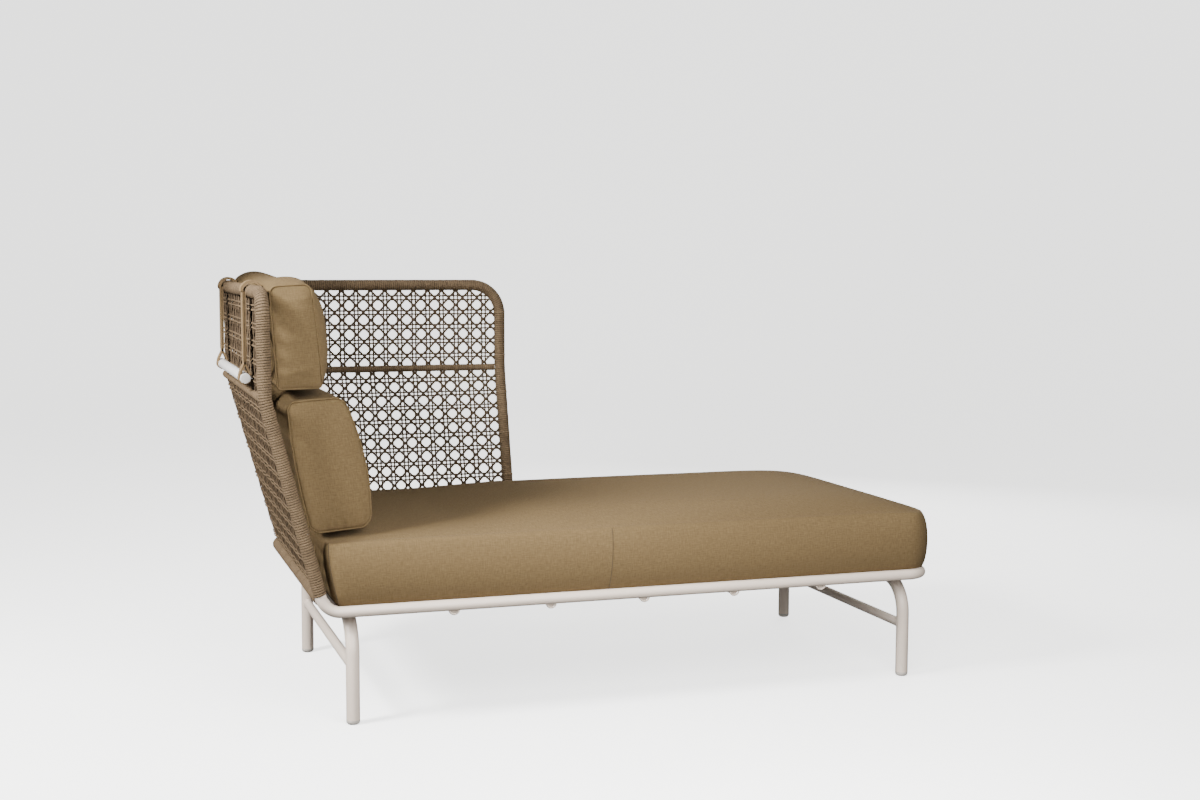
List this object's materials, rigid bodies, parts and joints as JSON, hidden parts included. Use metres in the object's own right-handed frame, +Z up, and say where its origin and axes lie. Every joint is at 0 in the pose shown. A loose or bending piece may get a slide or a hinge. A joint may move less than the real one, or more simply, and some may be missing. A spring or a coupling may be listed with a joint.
{
  "type": "chaise longue",
  "caption": "Chaise longue on a pale bent-tube frame with a woven rope corner back, a long seat cushion, a back cushion and a head cushion hung by straps from a rod counterweight.",
  "frame": {"origin": "on the floor, at the middle of the bounding box", "axes": "+X from the head end to the foot end, +Y from the open side to the panelled side, +Z up"},
  "size_m": [1.611, 0.924, 0.9543],
  "materials": {
    "frame_paint": "satin",
    "glide_plastic": "matte",
    "rope": "matte",
    "strap_webbing": "matte",
    "rod_paint": "satin",
    "cushion_fabric": "matte"
  },
  "bodies": {
    "frame": {"near_side_rail": "frame_paint", "foot_end_rail": "frame_paint", "far_side_rail": "frame_paint", "far_rail_plug": "glide_plastic", "head_leg_frame": "frame_paint", "head_cross_bar": "frame_paint", "head_stretcher": "frame_paint", "head_near_glide": "glide_plastic", "head_far_glide": "glide_plastic", "foot_leg_frame": "frame_paint", "foot_cross_bar": "frame_paint", "foot_stretcher": "frame_paint", "foot_near_glide": "glide_plastic", "foot_far_glide": "glide_plastic", "slat_1": "frame_paint", "slat_2": "frame_paint", "slat_3": "frame_paint", "slat_4": "frame_paint", "slat_5": "frame_paint", "back_tube": "frame_paint", "bottom_bar": "frame_paint", "mid_bar": "frame_paint", "near_upright_wrap": "rope", "top_end_wrap": "rope", "top_corner_wrap": "rope", "top_side_wrap": "rope", "side_upright_wrap": "rope", "bottom_end_wrap": "rope", "bottom_corner_wrap": "rope", "bottom_side_wrap": "rope", "mid_end_wrap": "rope", "mid_corner_wrap": "rope", "mid_side_wrap": "rope", "end_lower_weave": "rope", "corner_lower_weave": "rope", "side_lower_weave": "rope", "end_upper_weave": "rope", "corner_upper_weave": "rope", "side_upper_weave": "rope", "near_strap_saddle": "strap_webbing", "far_strap_saddle": "strap_webbing"},
    "seat": {"seat_cushion": "cushion_fabric"},
    "back_rest": {"back_cushion": "cushion_fabric"},
    "head_rest": {"head_cushion": "cushion_fabric"},
    "counterweight": {"counterweight_rod": "rod_paint", "near_strap_drop": "strap_webbing", "far_strap_drop": "strap_webbing"}
  },
  "joints": [
    {"name": "head_cushion_lift", "type": "slide", "parent": "frame", "child": "head_rest", "axis": [0, 0, 1], "range_m": [0, 0.12]},
    {"name": "counterweight_drop", "type": "slide", "parent": "frame", "child": "counterweight", "axis": [0, 0, 1], "range_m": [-0.12, 0], "deforming": ["near_strap_drop", "far_strap_drop"]},
    {"name": "back_cushion_pull", "type": "slide", "parent": "frame", "child": "back_rest", "axis": [1, 0, 0], "range_m": [0, 0.25]},
    {"name": "seat_cushion_pull", "type": "slide", "parent": "frame", "child": "seat", "axis": [1, 0, 0], "range_m": [0, 0.3]}
  ],
  "couplings": [
    {"joint": "counterweight_drop", "follows": "head_cushion_lift", "ratio": -1}
  ]
}
